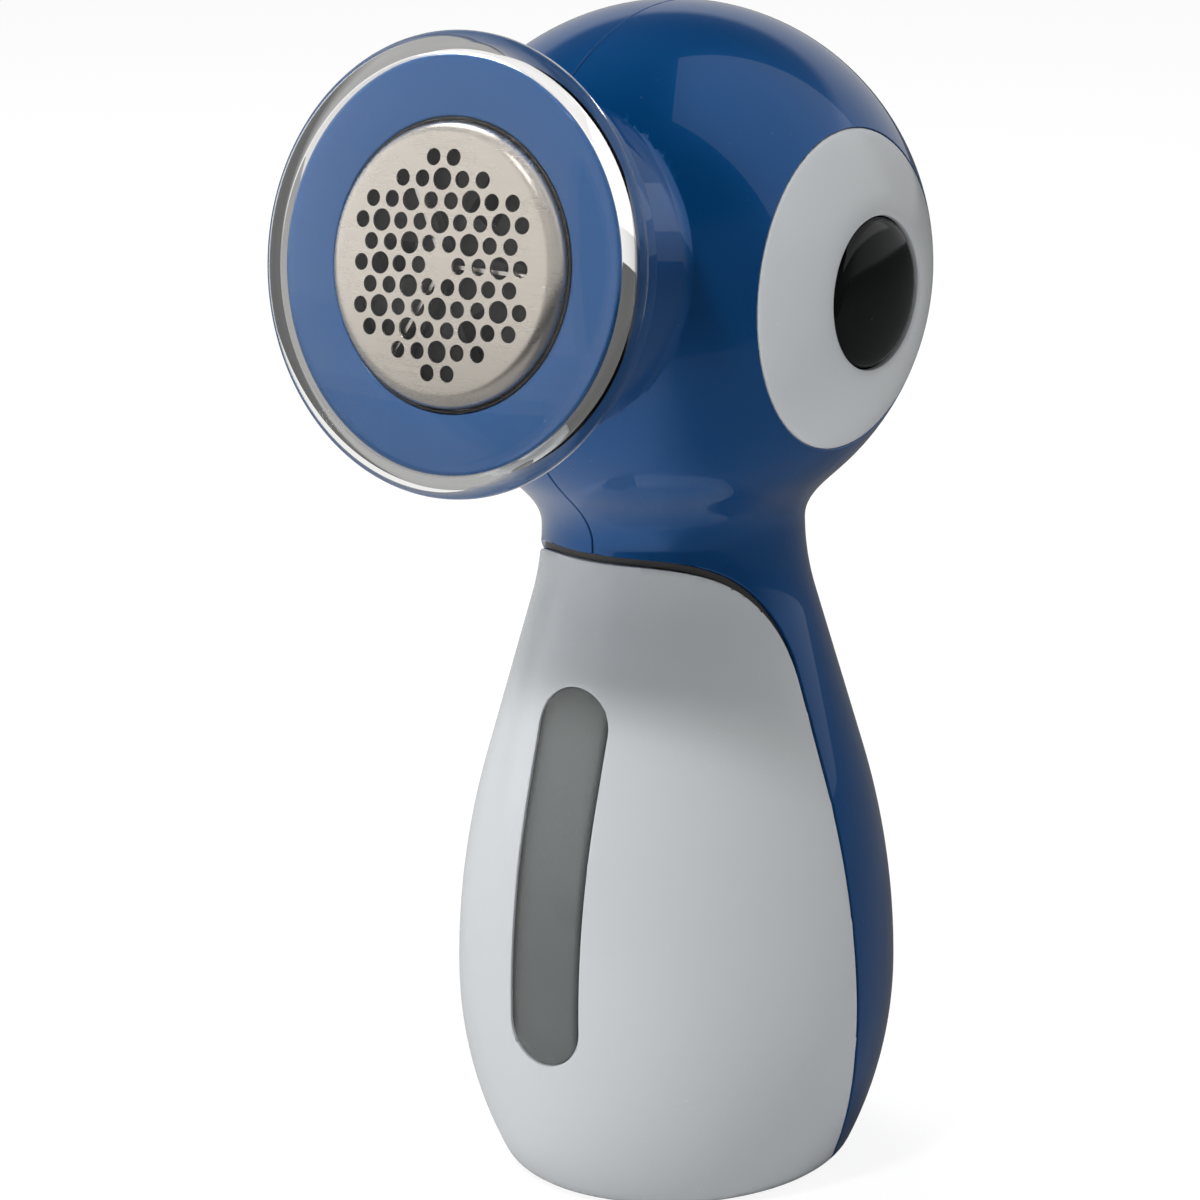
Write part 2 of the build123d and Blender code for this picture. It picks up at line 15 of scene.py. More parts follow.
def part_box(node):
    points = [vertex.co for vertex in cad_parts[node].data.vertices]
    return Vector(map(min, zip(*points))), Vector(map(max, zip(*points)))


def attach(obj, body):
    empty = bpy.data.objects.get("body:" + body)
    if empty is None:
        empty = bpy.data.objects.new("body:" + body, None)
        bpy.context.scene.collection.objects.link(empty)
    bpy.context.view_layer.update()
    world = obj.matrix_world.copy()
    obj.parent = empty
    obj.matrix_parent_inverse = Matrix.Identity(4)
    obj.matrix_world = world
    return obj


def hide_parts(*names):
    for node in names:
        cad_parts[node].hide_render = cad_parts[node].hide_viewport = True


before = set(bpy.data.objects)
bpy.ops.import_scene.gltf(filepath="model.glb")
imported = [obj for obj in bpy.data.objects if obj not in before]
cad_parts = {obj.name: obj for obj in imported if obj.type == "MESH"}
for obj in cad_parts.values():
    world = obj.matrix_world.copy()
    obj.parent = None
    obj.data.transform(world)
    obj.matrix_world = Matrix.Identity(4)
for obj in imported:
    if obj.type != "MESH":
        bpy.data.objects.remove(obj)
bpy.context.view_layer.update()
MM = 0.001

# %% [markdown]
# ## Sizes
# The case, the container and the door are cut from one form, an egg, a neck and a ball turned about the
# upright axis and then squeezed a little in x. So the form's few radii are written once, here. Heights
# that the frame can tell are read from it.

# %% Driving sizes, in millimetres
BASE_R, FOOT_R, FOOT_Z = 20.5, 24.6, 2.4
BELLY_R, BELLY_Z = 30.3, 27.5
FLANK_ARC, FLANK_Z = 109.0, 57.9
NECK_R, NECK_Z = 17.9, 91.0
BALL_Z, BALL_R, BALL_RISE, CHEEK = 125.6, 35.1, 35.6, -48.0
SQUEEZE = Vector((0.975, 1.046, 1.0))
WALL = 2.2
SEAM = 0.12
SIDE_GAP, TOP_GAP = 0.4, 1.0
CONTAINER_TOP, CONTAINER_BACK = 89.0, -2.2
KNEE = (0.9, 20.0)
FOOT = (4.2, -2.0)
PITCH = math.radians(9.8)
HEAD = Matrix((
    (1, 0, 0, 0),
    (0, math.sin(PITCH), -math.cos(PITCH), 0),
    (0, math.cos(PITCH), math.sin(PITCH), BALL_Z * MM),
    (0, 0, 0, 1),
))
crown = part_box("housing_right")[1].z / MM
print("crown at", round(crown, 1), "mm, and the form ends at", BALL_Z + BALL_RISE)

# %% [markdown]
# ## Helpers
# A turned piece starts as an outline of a few points, some of them rounded, and `spin` turns it. Cuts are
# Boolean modifiers on a mesh that is dense enough to keep its smooth shading up to the cut, and a small
# bevel then takes the sharpness off the new edges, as a mould would.


# %% Outlines with rounded corners
def rounded(points, steps=6):
    """A list of (x, z) points, or (x, z, radius) where the corner is rounded."""
    path = []
    count = len(points)
    for index, point in enumerate(points):
        here = Vector(point[:2])
        if len(point) == 2 or index in (0, count - 1):
            path.append(here)
            continue
        before = (Vector(points[index - 1][:2]) - here).normalized()
        after = (Vector(points[index + 1][:2]) - here).normalized()
        half = before.angle(after) / 2
        centre = here + (before + after).normalized() * point[2] / math.sin(half)
        start = here + before * point[2] / math.tan(half) - centre
        end = here + after * point[2] / math.tan(half) - centre
        turn = start.angle_signed(end)
        for step in range(steps + 1):
            angle = -turn * step / steps
            spun = Vector((
                start.x * math.cos(angle) - start.y * math.sin(angle),
                start.x * math.sin(angle) + start.y * math.cos(angle),
            ))
            path.append(centre + spun)
    return path


# %% Turn an outline about the upright axis
def turned(outline, steps=160, closed=True, place=None):
    bm = bmesh.new()
    verts = [bm.verts.new((p[0] * MM, 0, p[1] * MM)) for p in outline]
    pairs = list(zip(verts, verts[1:]))
    if closed:
        pairs.append((verts[-1], verts[0]))
    edges = [bm.edges.new(pair) for pair in pairs]
    bmesh.ops.spin(
        bm, geom=verts + edges, cent=(0, 0, 0), axis=(0, 0, 1), dvec=(0, 0, 0),
        angle=2 * math.pi, steps=steps, use_merge=True, use_duplicate=False,
    )
    bmesh.ops.remove_doubles(bm, verts=bm.verts, dist=1e-7)
    bmesh.ops.dissolve_degenerate(bm, edges=bm.edges, dist=1e-8)
    if place is not None:
        bmesh.ops.transform(bm, matrix=place, verts=bm.verts)
    bmesh.ops.recalc_face_normals(bm, faces=bm.faces)
    return bm


# %% Cut one mesh with another
def as_object(bm, name):
    mesh = bpy.data.meshes.new(name)
    bm.to_mesh(mesh)
    bm.free()
    obj = bpy.data.objects.new(name, mesh)
    bpy.context.scene.collection.objects.link(obj)
    return obj


def carved(bm, *cuts):
    """Apply (operation, cutter) pairs in turn: DIFFERENCE, INTERSECT or UNION."""
    target = as_object(bm, "carved")
    tools = []
    for operation, cutter in cuts:
        tool = as_object(cutter, "tool")
        tools.append(tool)
        modifier = target.modifiers.new(operation, "BOOLEAN")
        modifier.operation = operation
        modifier.solver = "EXACT"
        modifier.object = tool
    bpy.context.view_layer.update()
    done = bpy.data.meshes.new_from_object(target.evaluated_get(bpy.context.evaluated_depsgraph_get()))
    result = bmesh.new()
    result.from_mesh(done)
    for obj in [target, *tools]:
        bpy.data.objects.remove(obj)
    bpy.data.meshes.remove(done)
    bmesh.ops.remove_doubles(result, verts=result.verts, dist=0.02 * MM)
    return result


def joined(bm, other):
    """Add the other mesh to this one."""
    mesh = bpy.data.meshes.new("joined")
    other.to_mesh(mesh)
    other.free()
    bm.from_mesh(mesh)
    bpy.data.meshes.remove(mesh)
    return bm


def softened(bm, width, segments=2, angle=40):
    """Bevel every edge sharper than the angle."""
    bmesh.ops.dissolve_degenerate(bm, edges=bm.edges, dist=0.02 * MM)
    limit = math.radians(angle)
    sharp = [e for e in bm.edges if len(e.link_faces) == 2 and e.calc_face_angle(0) > limit]
    bmesh.ops.bevel(
        bm, geom=sharp, offset=width * MM, offset_type="OFFSET", segments=segments,
        profile=0.5, affect="EDGES", clamp_overlap=False, material=-1,
    )
    return bm


# %% Put a finished piece on its body
def piece(name, bm, material, body, slot, *nodes, angle=32):
    bmesh.ops.recalc_face_normals(bm, faces=bm.faces)
    obj = as_object(bm, name)
    mesh = obj.data
    mesh.materials.append(material)
    mesh.polygons.foreach_set("use_smooth", [True] * len(mesh.polygons))
    mesh.set_sharp_from_angle(angle=math.radians(angle))
    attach(obj, body)
    if nodes:
        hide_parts(*nodes)
    print(name, "has", len(mesh.polygons), "faces")
    return obj


# %% [markdown]
# ## Finishes
# Moulded plastic is never quite even. Its gloss varies a little over a few centimetres, its surface has a
# faint orange peel, and fine dust and hairline scratches catch the light. Every plastic here uses the same
# node group for that, with its own strengths, so the pieces look as if they came from one factory.


# %% A node tree shorthand
def node(tree, kind, inputs=None, **settings):
    made = tree.nodes.new(kind)
    for key, value in settings.items():
        setattr(made, key, value)
    for key, value in (inputs or {}).items():
        if isinstance(value, bpy.types.NodeSocket):
            tree.links.new(value, made.inputs[key])
        else:
            made.inputs[key].default_value = value
    return made


def group(name, inputs, outputs):
    tree = bpy.data.node_groups.new(name, "ShaderNodeTree")
    for label, kind, default in inputs:
        socket = tree.interface.new_socket(label, in_out="INPUT", socket_type="NodeSocket" + kind)
        socket.default_value = default
    for label, kind in outputs:
        tree.interface.new_socket(label, in_out="OUTPUT", socket_type="NodeSocket" + kind)
    return tree, tree.nodes.new("NodeGroupInput"), tree.nodes.new("NodeGroupOutput")


# %% Moulded surface: gloss variation, orange peel, dust and hairlines
def moulded_surface():
    tree, ins, outs = group(
        "moulded_surface",
        [("Roughness", "Float", 0.15), ("Variation", "Float", 0.04), ("Peel", "Float", 0.1),
         ("Dust", "Float", 0.05), ("Colour", "Color", (0.5, 0.5, 0.5, 1))],
        [("Colour", "Color"), ("Roughness", "Float"), ("Height", "Float")],
    )
    place = node(tree, "ShaderNodeTexCoord").outputs["Object"]
    broad = node(tree, "ShaderNodeTexNoise", {"Vector": place, "Scale": 45.0, "Detail": 3.0})
    peel = node(tree, "ShaderNodeTexNoise", {"Vector": place, "Scale": 900.0, "Detail": 2.0})
    speck = node(tree, "ShaderNodeTexVoronoi", {"Vector": place, "Scale": 620.0, "Randomness": 1.0})
    spot = node(tree, "ShaderNodeMapRange", {
        "Value": speck.outputs["Distance"], "From Min": 0.05, "From Max": 0.11, "To Min": 1.0, "To Max": 0.0})
    patch = node(tree, "ShaderNodeTexNoise", {"Vector": place, "Scale": 130.0, "Detail": 5.0})
    sparse = node(tree, "ShaderNodeMapRange", {
        "Value": patch.outputs["Fac"], "From Min": 0.56, "From Max": 0.68, "To Min": 0.0, "To Max": 1.0})
    dust = node(tree, "ShaderNodeMath", {0: spot.outputs[0], 1: sparse.outputs[0]}, operation="MULTIPLY")
    dust = node(tree, "ShaderNodeMath", {0: dust.outputs[0], 1: ins.outputs["Dust"]}, operation="MULTIPLY")
    vary = node(tree, "ShaderNodeMapRange", {
        "Value": broad.outputs["Fac"], "From Min": 0.3, "From Max": 0.7, "To Min": -1.0, "To Max": 1.0})
    vary = node(tree, "ShaderNodeMath", {
        0: vary.outputs[0], 1: ins.outputs["Variation"], 2: ins.outputs["Roughness"],
    }, operation="MULTIPLY_ADD")
    rough = node(tree, "ShaderNodeMath", {
        0: dust.outputs[0], 1: 0.5, 2: vary.outputs[0]}, operation="MULTIPLY_ADD", use_clamp=True)
    tone = node(tree, "ShaderNodeMix", {
        "Factor": dust.outputs[0], "A": ins.outputs["Colour"], "B": (0.75, 0.76, 0.78, 1)}, data_type="RGBA")
    height = node(tree, "ShaderNodeMath", {
        0: peel.outputs["Fac"], 1: ins.outputs["Peel"]}, operation="MULTIPLY")
    tree.links.new(tone.outputs["Result"], outs.inputs["Colour"])
    tree.links.new(rough.outputs[0], outs.inputs["Roughness"])
    tree.links.new(height.outputs[0], outs.inputs["Height"])
    return tree


MOULDED = moulded_surface()


# %% Plastics made with it
def new_material(name):
    material = bpy.data.materials.new(name)
    material.use_nodes = True
    tree = material.node_tree
    return material, tree, tree.nodes["Principled BSDF"]


def plastic(name, colour, roughness, variation=0.03, peel=0.15, dust=0.3, coat=0.0, metallic=0.0):
    material, tree, shader = new_material(name)
    surface = node(tree, "ShaderNodeGroup", node_tree=MOULDED)
    for label, value in (("Roughness", roughness), ("Variation", variation), ("Peel", peel), ("Dust", dust)):
        surface.inputs[label].default_value = value
    surface.inputs["Colour"].default_value = (*colour, 1)
    bump = node(tree, "ShaderNodeBump", {
        "Height": surface.outputs["Height"], "Strength": 0.25, "Distance": 0.02 * MM})
    tree.links.new(surface.outputs["Colour"], shader.inputs["Base Color"])
    tree.links.new(surface.outputs["Roughness"], shader.inputs["Roughness"])
    tree.links.new(bump.outputs["Normal"], shader.inputs["Normal"])
    shader.inputs["IOR"].default_value = 1.5
    shader.inputs["Metallic"].default_value = metallic
    shader.inputs["Coat Weight"].default_value = coat
    shader.inputs["Coat Roughness"].default_value = 0.02
    return material


BLUE = plastic("blue_case", (0.001, 0.108, 0.37), 0.34, dust=0.12, coat=1.0, metallic=0.62)
WHITE = plastic("white_shell", (0.655, 0.68, 0.70), 0.2, coat=0.1)
BLACK = plastic("black_gloss", (0.004, 0.005, 0.005), 0.08)
GREY = plastic("grey_inner", (0.075, 0.07, 0.066), 0.45, peel=0.5, dust=0.2)
MATT = plastic("black_inner", (0.02, 0.02, 0.022), 0.5, peel=0.6, dust=0.2)
BOARD = plastic("board_green", (0.02, 0.13, 0.06), 0.35, peel=0.3)
JACKET = plastic("cell_jacket", (0.05, 0.05, 0.055), 0.25)
print("plastics:", [m.name for m in (BLUE, WHITE, BLACK, GREY, MATT, BOARD, JACKET)])

# %% [markdown]
# ## Metal
# The foil is stainless sheet, pressed and then polished in one direction, so its gloss is drawn out in
# streaks. A noise stretched along one axis gives streaks, and it shifts both the roughness and the tone.


# %% Brushed metal
def brushed_surface():
    tree, ins, outs = group(
        "brushed_surface",
        [("Colour", "Color", (0.7, 0.7, 0.7, 1)), ("Roughness", "Float", 0.3), ("Streaks", "Float", 0.08)],
        [("Colour", "Color"), ("Roughness", "Float"), ("Height", "Float")],
    )
    place = node(tree, "ShaderNodeTexCoord").outputs["Object"]
    stretch = node(tree, "ShaderNodeMapping", {"Vector": place, "Scale": (60.0, 900.0, 2600.0)})
    streak = node(tree, "ShaderNodeTexNoise", {"Vector": stretch.outputs[0], "Scale": 1.0, "Detail": 3.0})
    cloud = node(tree, "ShaderNodeTexNoise", {"Vector": place, "Scale": 160.0, "Detail": 3.0})
    both = node(tree, "ShaderNodeMath", {0: streak.outputs["Fac"], 1: cloud.outputs["Fac"]}, operation="ADD")
    centred = node(tree, "ShaderNodeMath", {0: both.outputs[0], 1: 1.0}, operation="SUBTRACT")
    rough = node(tree, "ShaderNodeMath", {
        0: centred.outputs[0], 1: ins.outputs["Streaks"], 2: ins.outputs["Roughness"],
    }, operation="MULTIPLY_ADD")
    shade = node(tree, "ShaderNodeMath", {
        0: centred.outputs[0], 1: 0.12, 2: 1.0}, operation="MULTIPLY_ADD")
    tone = node(tree, "ShaderNodeVectorMath", {
        0: ins.outputs["Colour"], 1: shade.outputs[0]}, operation="MULTIPLY")
    tree.links.new(tone.outputs[0], outs.inputs["Colour"])
    tree.links.new(rough.outputs[0], outs.inputs["Roughness"])
    tree.links.new(streak.outputs["Fac"], outs.inputs["Height"])
    return tree


BRUSHED = brushed_surface()


def metal(name, colour, roughness, streaks=0.08, relief=0.15):
    material, tree, shader = new_material(name)
    surface = node(tree, "ShaderNodeGroup", node_tree=BRUSHED)
    surface.inputs["Colour"].default_value = (*colour, 1)
    surface.inputs["Roughness"].default_value = roughness
    surface.inputs["Streaks"].default_value = streaks
    bump = node(tree, "ShaderNodeBump", {
        "Height": surface.outputs["Height"], "Strength": relief, "Distance": 0.01 * MM})
    tree.links.new(surface.outputs["Colour"], shader.inputs["Base Color"])
    tree.links.new(surface.outputs["Roughness"], shader.inputs["Roughness"])
    tree.links.new(bump.outputs["Normal"], shader.inputs["Normal"])
    shader.inputs["Metallic"].default_value = 1.0
    return material


FOIL = metal("foil_steel", (0.72, 0.67, 0.62), 0.28, 0.05, relief=0.02)
STEEL = metal("ground_steel", (0.62, 0.60, 0.58), 0.28)
WIRE = metal("spring_wire", (0.60, 0.60, 0.62), 0.22)
NICKEL = metal("nickel_plate", (0.72, 0.70, 0.66), 0.2)
BRASS = metal("brass_tab", (0.78, 0.58, 0.28), 0.3)

# %% [markdown]
# ## Clear plastic
# The cap is a real dish of clear acrylic with a wall, so its round rim bends the light into bright lines.
# Rays that only carry light and shadow pass straight through it, which keeps the foil behind it lit. The
# haze of fine scratches on its front is a rougher patch of the same surface.


# %% Clear acrylic and the smoky window
def clear(name, tint, roughness, haze, through_share=1.0, ior=1.3, painted_edge_shade=None):
    """The last argument gives two distances from the middle plane; between them the colour darkens, a painted
    shade at the pane's sides, and the colour is painted lighter towards the top.
    """
    material, tree, shader = new_material(name)
    place = node(tree, "ShaderNodeTexCoord").outputs["Object"]
    cloud = node(tree, "ShaderNodeTexNoise", {"Vector": place, "Scale": 90.0, "Detail": 4.0})
    rough = node(tree, "ShaderNodeMapRange", {
        "Value": cloud.outputs["Fac"], "From Min": 0.35, "From Max": 0.7,
        "To Min": roughness, "To Max": roughness + haze})
    tree.links.new(rough.outputs[0], shader.inputs["Roughness"])
    shader.inputs["Base Color"].default_value = (*tint, 1)
    if painted_edge_shade is not None:
        split = node(tree, "ShaderNodeSeparateXYZ", {"Vector": place})
        side = node(tree, "ShaderNodeMath", {0: split.outputs["X"]}, operation="ABSOLUTE")
        # Painted shade: the tint darkens towards both sides of the pane, standing in for the shaded wall seen
        # through its edge.
        edge = node(tree, "ShaderNodeMapRange", {
            "Value": side.outputs[0], "From Min": painted_edge_shade[0], "From Max": painted_edge_shade[1], "To Min": 1.0, "To Max": 0.3})
        # Painted light: the tint gets lighter towards the top of the window.
        high = node(tree, "ShaderNodeMapRange", {
            "Value": split.outputs["Z"], "From Min": 35 * MM, "From Max": 65 * MM,
            "To Min": 0.86, "To Max": 1.08})
        shade = node(tree, "ShaderNodeMath", {0: edge.outputs[0], 1: high.outputs[0]}, operation="MULTIPLY")
        # The tint is multiplied by both painted marks, the shaded sides and the lighter top.
        painted_light_and_shade = node(tree, "ShaderNodeVectorMath", {0: tint, 1: shade.outputs[0]}, operation="MULTIPLY")
        tree.links.new(painted_light_and_shade.outputs[0], shader.inputs["Base Color"])
    shader.inputs["Transmission Weight"].default_value = through_share
    shader.inputs["IOR"].default_value = ior
    path = node(tree, "ShaderNodeLightPath")
    soft = node(tree, "ShaderNodeMath", {
        0: path.outputs["Is Shadow Ray"], 1: path.outputs["Is Diffuse Ray"]}, operation="MAXIMUM")
    through = node(tree, "ShaderNodeBsdfTransparent", {"Color": (*tint, 1)})
    mix = node(tree, "ShaderNodeMixShader", {0: soft.outputs[0], 1: shader.outputs[0], 2: through.outputs[0]})
    tree.links.new(mix.outputs[0], tree.nodes["Material Output"].inputs["Surface"])
    return material


CLEAR = clear("clear_acrylic", (0.89, 0.885, 0.87), 0.0, 0.05)
# The smoky window's darker sides and lighter top are painted shade and painted light in its colour.
SMOKE = clear("smoky_window", (0.50, 0.525, 0.52), 0.06, 0.04, through_share=0.74, painted_edge_shade=(4.4 * MM, 5.4 * MM))


# %% [markdown]
# ## The common form
# The egg, the neck and the ball are one outline, and each skin of the case is that outline at two depths.


# %% The form's outline at any depth
def form_outline(inset):
    lean = math.asin((FLANK_Z - BELLY_Z) / FLANK_ARC)
    flank_r = BELLY_R - FLANK_ARC * (1 - math.cos(lean))
    bend = math.tan(lean / 2)
    waist_z = (flank_r - NECK_R + math.tan(lean) * FLANK_Z - bend * NECK_Z) / (math.tan(lean) - bend)
    hollow = (NECK_Z - waist_z) / math.sin(lean)
    foot_arc = ((BELLY_R - FOOT_R) ** 2 + (BELLY_Z - FOOT_Z) ** 2) / (2 * (BELLY_R - FOOT_R))
    slope = (BELLY_Z - FOOT_Z) / math.sqrt(foot_arc ** 2 - (BELLY_Z - FOOT_Z) ** 2)
    path = [(0.0, 0.0)]
    for step in range(1, 8):
        path.append((BASE_R * step / 8, 0.0))
    elbow = FOOT_R - slope * FOOT_Z
    for step in range(9):
        t = step / 8
        r = (1 - t) ** 2 * BASE_R + 2 * t * (1 - t) * elbow + t * t * FOOT_R
        path.append((r, t * t * FOOT_Z))
    z = FOOT_Z
    while z < NECK_Z - 0.5:
        z += 1.2
        if z < BELLY_Z:
            r = BELLY_R - foot_arc + math.sqrt(foot_arc ** 2 - (BELLY_Z - z) ** 2)
        elif z < FLANK_Z:
            r = BELLY_R - FLANK_ARC + math.sqrt(FLANK_ARC ** 2 - (z - BELLY_Z) ** 2)
        elif z < waist_z:
            r = flank_r - math.tan(lean) * (z - FLANK_Z)
        else:
            r = NECK_R + hollow - math.sqrt(max(hollow ** 2 - (NECK_Z - z) ** 2, 0))
        path.append((r, min(z, NECK_Z - 0.3)))
    cheek = math.radians(CHEEK)
    start = Vector((NECK_R, NECK_Z))
    end = Vector((BALL_R * math.cos(cheek), BALL_Z + BALL_RISE * math.sin(cheek)))
    pull = 10.0
    leave = Vector((0, 1)) * pull
    arrive = Vector((-BALL_R * math.sin(cheek), BALL_RISE * math.cos(cheek))).normalized() * pull
    for step in range(12):
        t = step / 12
        h = (2 * t ** 3 - 3 * t ** 2 + 1, t ** 3 - 2 * t ** 2 + t, 3 * t ** 2 - 2 * t ** 3, t ** 3 - t ** 2)
        path.append(tuple(h[0] * start + h[1] * leave + h[2] * end + h[3] * arrive))
    count = 64
    for step in range(count):
        angle = cheek + (math.pi / 2 - cheek) * step / count
        path.append((BALL_R * math.cos(angle), BALL_Z + BALL_RISE * math.sin(angle)))
    path.append((0.0, BALL_Z + BALL_RISE))
    if inset == 0:
        return path
    moved = []
    for index, point in enumerate(path):
        before = Vector(path[max(index - 1, 0)])
        after = Vector(path[min(index + 1, len(path) - 1)])
        along = (after - before).normalized()
        place = Vector(point) + Vector((-along.y, along.x)) * inset
        moved.append((max(place.x, 0.0), place.y))
    moved[0] = (0.0, inset)
    moved[-1] = (0.0, BALL_Z + BALL_RISE - inset)
    return moved


def skin(outer, inner, steps=240):
    """The layer of the form between two depths."""
    bm = turned(form_outline(outer), steps, closed=False)
    if inner is not None:
        deeper = turned(form_outline(inner), steps, closed=False)
        bmesh.ops.reverse_faces(deeper, faces=deeper.faces)
        joined(bm, deeper)
    bmesh.ops.scale(bm, vec=SQUEEZE, verts=bm.verts)
    return bm


# %% [markdown]
# ## Cutters
# The container's parting line is one curve seen from the side: level over the shoulder, then down and
# slightly back. Filled and pushed through the body in x, it becomes the cutter for both pieces.


# %% Prisms
def prism(points, axis, low, high):
    """A flat polygon of (u, v) points, pushed along x or y from low to high."""
    bm = bmesh.new()
    if axis == "x":
        verts = [bm.verts.new((low * MM, u * MM, v * MM)) for u, v in points]
        push = Vector(((high - low) * MM, 0, 0))
    else:
        verts = [bm.verts.new((u * MM, low * MM, v * MM)) for u, v in points]
        push = Vector((0, (high - low) * MM, 0))
    face = bm.faces.new(verts)
    made = bmesh.ops.extrude_face_region(bm, geom=[face])
    moved = [item for item in made["geom"] if isinstance(item, bmesh.types.BMVert)]
    bmesh.ops.translate(bm, vec=push, verts=moved)
    bmesh.ops.recalc_face_normals(bm, faces=bm.faces)
    return bm


def front_region(dy=0.0, dz=0.0):
    line = rounded([
        (-70, FOOT[1]),
        (-70, CONTAINER_TOP + dz),
        (CONTAINER_BACK + dy, CONTAINER_TOP + dz, 18.5),
        (KNEE[0] + dy, KNEE[1], 60.0),
        (FOOT[0] + dy, FOOT[1]),
    ], steps=40)
    return prism(line, "x", -60, 60)


def slot_shape(width, low, high, steps=20):
    half = width / 2
    path = []
    for centre, start in ((high - half, 0.0), (low + half, math.pi)):
        for step in range(steps + 1):
            angle = start + math.pi * step / steps
            path.append((half * math.cos(angle), centre + half * math.sin(angle)))
    return path


def panel_shape(width, low, high, corner):
    half = width / 2
    middle = (low + high) / 2
    return rounded([
        (half, middle), (half, high, corner), (-half, high, corner),
        (-half, low, corner), (half, low, corner), (half, middle - 0.01),
    ], steps=10)


# %% [markdown]
# ## Lint container and window
# The container is the front of the body, cut along the parting line, with a slot for the window. The
# window is the same skin cut with a slightly smaller slot, and a lip behind it holds it in.

# %% Container
WINDOW = (11.2, 21.6, 72.5)
container = carved(
    skin(0, WALL),
    ("INTERSECT", front_region()),
    ("DIFFERENCE", prism(slot_shape(*WINDOW), "y", -60, 0)),
)
container = softened(container, 0.22)
piece("container_shell", container, WHITE, "container", "white_plastic", "lint_container")

# %% Window
PANE = (10.9, 21.75, 72.35)
PANE_LIP = (14.8, 19.8, 74.3)
pane = carved(skin(0.25, WALL + 0.4), ("INTERSECT", prism(slot_shape(*PANE), "y", -60, 0)))
lip = carved(
    skin(WALL + 0.05, WALL + 1.05), ("INTERSECT", prism(slot_shape(*PANE_LIP), "y", -60, 0)))
piece("window_pane", softened(joined(pane, lip), 0.1), SMOKE, "container", "window_clear", "container_window")


# %% [markdown]
# ## Case
# Each half is cut from the same skin. The collar that carries the shaving head grows out of the ball with
# a small hollow at its root. The left half is the right one mirrored, with a sleeve and a hole for each of
# the three screws.


# %% Right half
def block(low, high):
    bm = bmesh.new()
    bmesh.ops.create_cube(bm, size=1.0)
    size = Vector(high) - Vector(low)
    bmesh.ops.scale(bm, vec=size * MM, verts=bm.verts)
    bmesh.ops.translate(bm, vec=(Vector(low) + Vector(high)) / 2 * MM, verts=bm.verts)
    return bm


def bar(radius, start, end, place, steps=96):
    return turned([(0, start), (radius, start), (radius, end), (0, end)], steps, closed=False, place=place)


SIDE = Matrix(((0, 0, 1, 0), (1, 0, 0, 0), (0, 1, 0, BALL_Z * MM), (0, 0, 0, 1)))
COLLAR_R, COLLAR_END = 22.0, 46.4
COLLAR_BORE, RING_SEAT = 20.0, 21.06
DOOR_HOLE = (32.6, 8.0, 72.0, 7.0)
DOOR_PANEL = (32.1, 8.25, 71.75, 6.75)
collar = turned(rounded([
    (19.0, 18), (24.4, 18), (24.4, 24.4), (COLLAR_R, 28.4, 4.0), (COLLAR_R, COLLAR_END), (19.0, COLLAR_END),
], 10), 160, place=HEAD)
half = carved(
    skin(0, WALL),
    ("UNION", collar),
    ("DIFFERENCE", bar(COLLAR_BORE, 14, 60, HEAD)),
    ("INTERSECT", block((SEAM / 2, -80, -10), (80, 80, 200))),
    ("DIFFERENCE", front_region(SIDE_GAP, TOP_GAP)),
    ("DIFFERENCE", prism(panel_shape(*DOOR_HOLE), "y", 8, 60)),
    ("DIFFERENCE", bar(RING_SEAT, 15, 60, SIDE)),
)
left = half.copy()
piece("case_right", softened(half, 0.12, segments=1), BLUE, "handle", "blue_case", "housing_right")

# %% Left half: the right one mirrored, with a sleeve and a hole for each screw
SCREWS = [(22.0, 146.0), (26.5, 112.0), (17.0, 4.7)]
SCREW_SEAT, SLEEVE_R, SCREW_HOLE_R = 7.0, 3.4, 2.2


def pegs(radius, start, end):
    """One rod across the case for each screw, joined in one mesh."""
    bm = bmesh.new()
    for y, z in SCREWS:
        bmesh.ops.create_cone(
            bm, cap_ends=True, segments=40, radius1=radius * MM, radius2=radius * MM,
            depth=(end - start) * MM,
            matrix=Matrix.Translation(((start + end) / 2 * MM, y * MM, z * MM))
            @ Matrix.Rotation(math.pi / 2, 4, "Y"),
        )
    return bm


bmesh.ops.scale(left, vec=(-1, 1, 1), verts=left.verts)
bmesh.ops.reverse_faces(left, faces=left.faces)
sleeves = carved(skin(0.4, None), ("INTERSECT", pegs(SLEEVE_R, -60, -SCREW_SEAT)))
left = carved(left, ("UNION", sleeves), ("DIFFERENCE", pegs(SCREW_HOLE_R, -61, -SCREW_SEAT + 1)))
piece("case_left", softened(left, 0.12, segments=1), BLUE, "handle", "blue_case", "housing_left")

# %% [markdown]
# ## Rings and button
# The white rings follow the ball, so each is turned about the side axis as a flat ring and then laid on
# the ball's surface. The inner edge dips towards the button.


# %% Lay a flat turned shape on the side of the ball
def on_ball(outline, steps=128):
    """The outline's x is the distance from the button's axis, its y the depth under the ball's surface."""
    bm = turned([(r, -depth) for r, depth in outline], steps, closed=False)
    a, b, c = (SQUEEZE.x * BALL_R * MM, SQUEEZE.y * BALL_R * MM, BALL_RISE * MM)
    for vert in bm.verts:
        y, z, depth = vert.co.x, vert.co.y, vert.co.z
        x = a * math.sqrt(max(0.0, 1 - (y / b) ** 2 - (z / c) ** 2))
        vert.co = Vector((x + depth, y, z + BALL_Z * MM))
    bmesh.ops.recalc_face_normals(bm, faces=bm.faces)
    return bm


def mirrored(bm):
    bmesh.ops.scale(bm, vec=(-1, 1, 1), verts=bm.verts)
    bmesh.ops.reverse_faces(bm, faces=bm.faces)
    return bm


